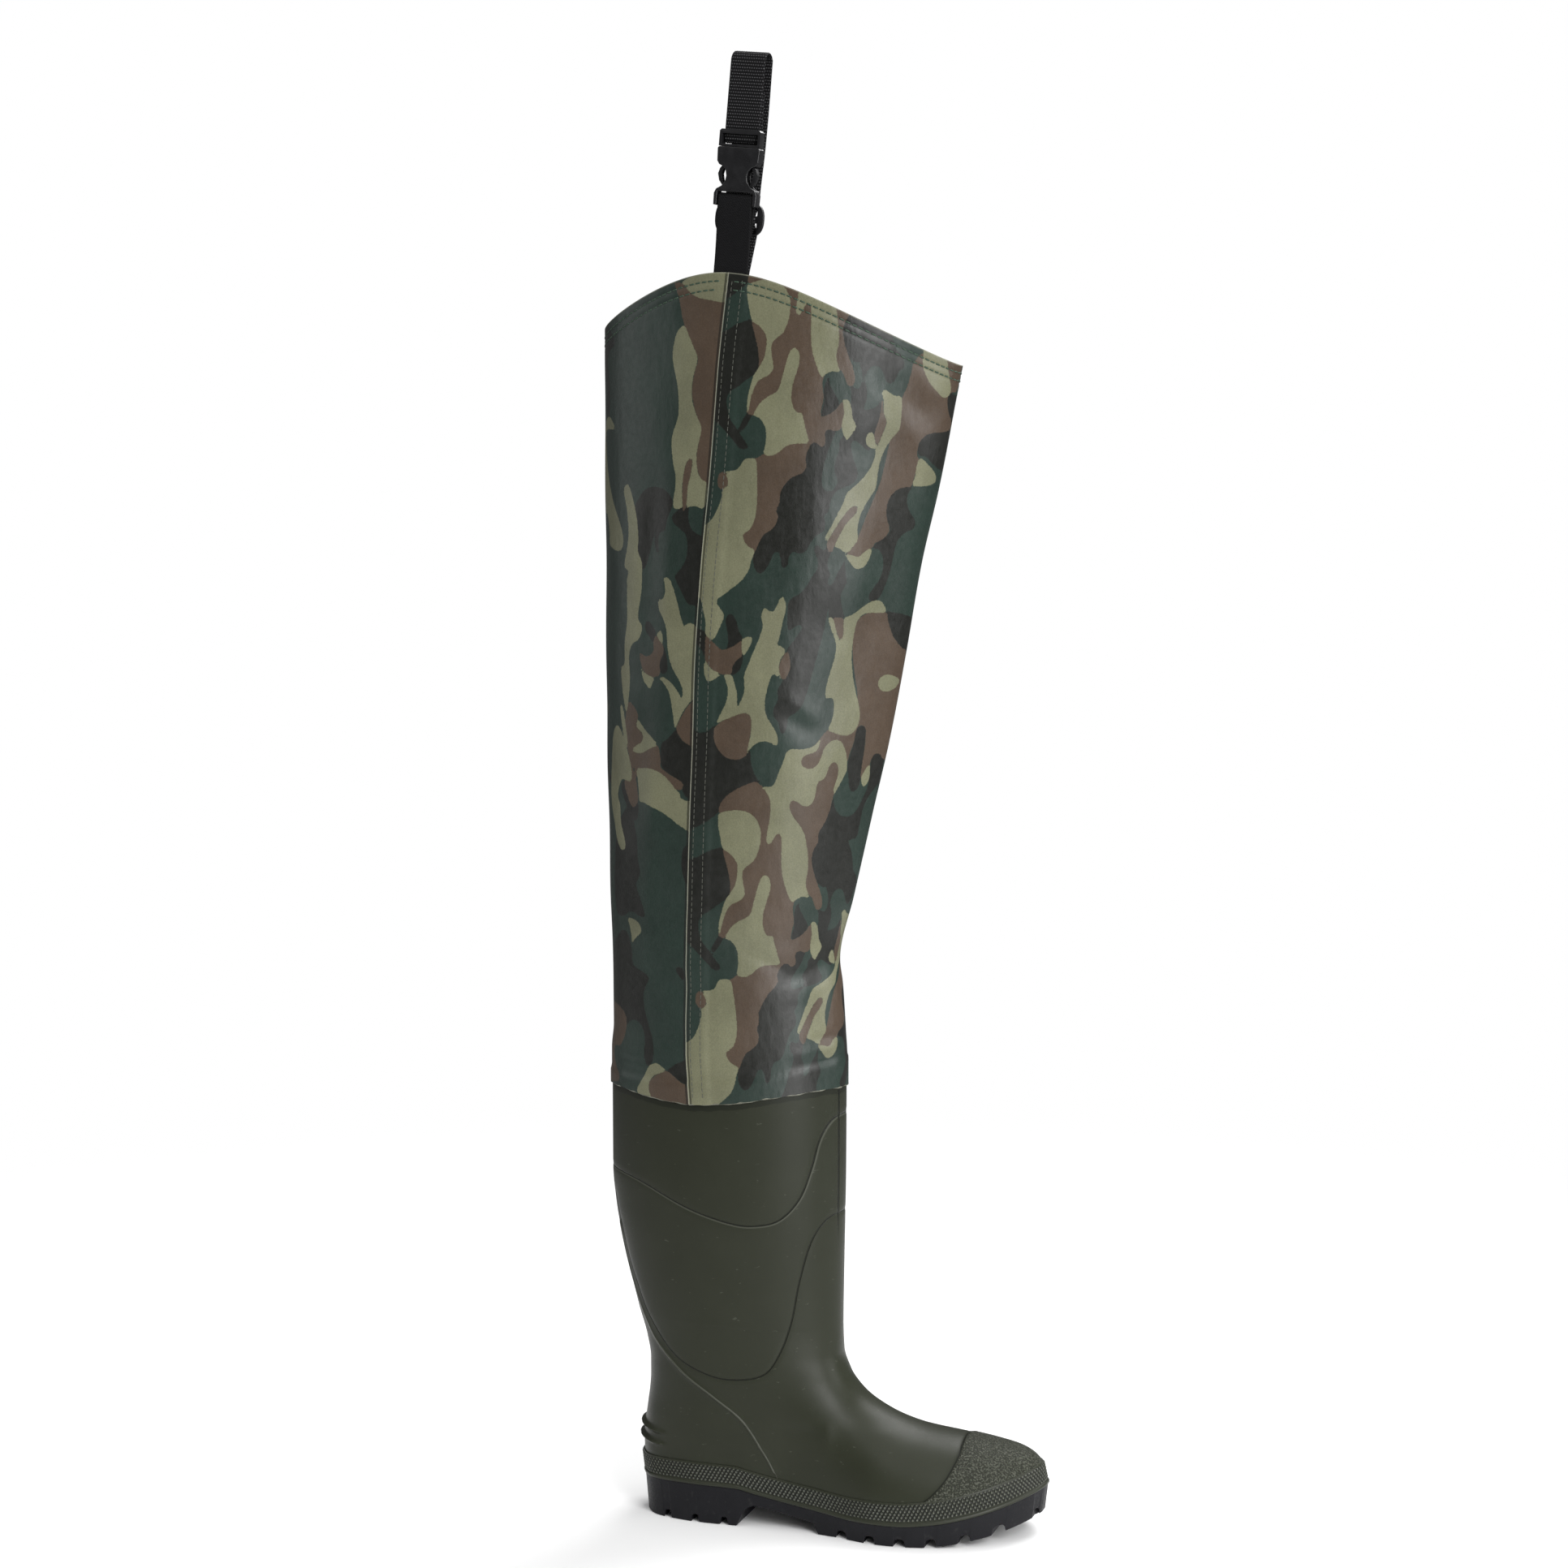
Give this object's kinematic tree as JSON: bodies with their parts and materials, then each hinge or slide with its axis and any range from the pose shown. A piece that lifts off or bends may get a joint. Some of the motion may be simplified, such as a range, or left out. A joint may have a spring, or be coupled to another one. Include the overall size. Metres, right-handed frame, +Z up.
{
  "type": "thigh wader",
  "caption": "Thigh-length wader for the right leg: moulded olive boot with lugged black sole, welded camouflage leg and a buckled webbing strap that loops over a belt.",
  "frame": {"origin": "on the floor, under the middle of the heel", "axes": "+X towards the toe, +Y towards the inner side of the leg, +Z up"},
  "size_m": [0.3279, 0.1554, 1.0489],
  "materials": {
    "black_tread": "satin moulded PVC",
    "olive_pvc": "satin moulded PVC",
    "insole_foam": "matt foam sock",
    "camo_cloth": "satin coated cloth with a woodland print",
    "black_webbing": "woven webbing",
    "black_plastic": "moulded acetal"
  },
  "bodies": {
    "root": {"outsole": "black_tread", "boot": "olive_pvc", "insole": "insole_foam", "leg": "camo_cloth", "strap_lower": "black_webbing", "buckle_socket": "black_plastic", "buckle_plug": "black_plastic", "strap_upper": "black_webbing", "strap_slider": "black_plastic"}
  },
  "joints": []
}
